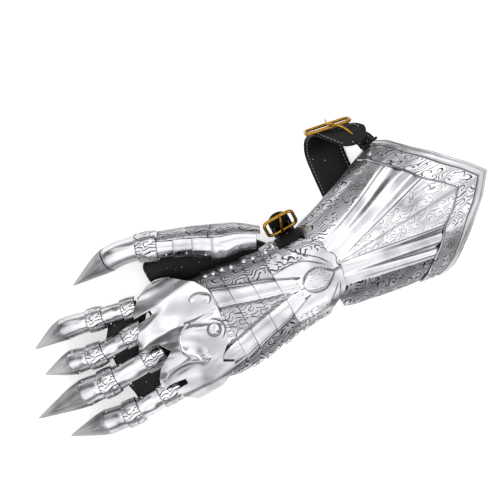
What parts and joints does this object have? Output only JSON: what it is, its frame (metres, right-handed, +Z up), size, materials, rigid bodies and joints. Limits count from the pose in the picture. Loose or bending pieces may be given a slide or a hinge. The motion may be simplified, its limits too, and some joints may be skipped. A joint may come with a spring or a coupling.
{
  "type": "armoured gauntlet",
  "caption": "Left-hand plate gauntlet of polished, engraved steel with a pointed cuff, lames, knuckle plate and long claws over a black leather glove, with brass-buckled straps.",
  "frame": {"origin": "centre of the bounding box on the surface below, palm down", "axes": "+X from the claws to the cuff, +Y towards the thumb side, +Z up, away from the back of the hand"},
  "size_m": [0.4394, 0.166, 0.0961],
  "materials": {
    "polished_steel": "mirror polished",
    "engraved_steel": "polished, with engraved scrollwork",
    "black_leather": "satin",
    "brass": "polished"
  },
  "bodies": {
    "root": {"wrist_plate": "engraved_steel", "knuckle_plate": "polished_steel", "cuff_plate": "polished_steel", "cuff_border": "engraved_steel", "glove": "black_leather", "cuff_strap": "black_leather", "cuff_buckle_strap": "black_leather", "cuff_buckle_frame": "brass", "cuff_buckle_tongue": "brass", "wrist_strap": "black_leather", "wrist_buckle_strap": "black_leather", "wrist_buckle_frame": "brass", "wrist_buckle_tongue": "brass", "metacarpal_lame_1": "engraved_steel", "metacarpal_lame_2": "engraved_steel", "metacarpal_lame_3": "engraved_steel", "metacarpal_lame_4": "engraved_steel", "index_knuckle_joint": "engraved_steel", "index_upper_lame": "polished_steel", "index_middle_joint": "engraved_steel", "index_end_lame": "polished_steel", "index_claw": "polished_steel", "middle_knuckle_joint": "engraved_steel", "middle_upper_lame": "polished_steel", "middle_middle_joint": "engraved_steel", "middle_end_lame": "polished_steel", "middle_claw": "polished_steel", "ring_knuckle_joint": "engraved_steel", "ring_upper_lame": "polished_steel", "ring_middle_joint": "engraved_steel", "ring_end_lame": "polished_steel", "ring_claw": "polished_steel", "little_knuckle_joint": "engraved_steel", "little_upper_lame": "polished_steel", "little_middle_joint": "engraved_steel", "little_end_lame": "polished_steel", "little_claw": "polished_steel", "thumb_base_plate": "polished_steel", "thumb_lame_1": "polished_steel", "thumb_lame_2": "polished_steel", "thumb_lame_3": "polished_steel", "thumb_joint": "engraved_steel", "thumb_end_lame": "polished_steel", "thumb_claw": "polished_steel", "thumb_side_rear": "engraved_steel", "thumb_side_front": "engraved_steel"}
  },
  "joints": []
}
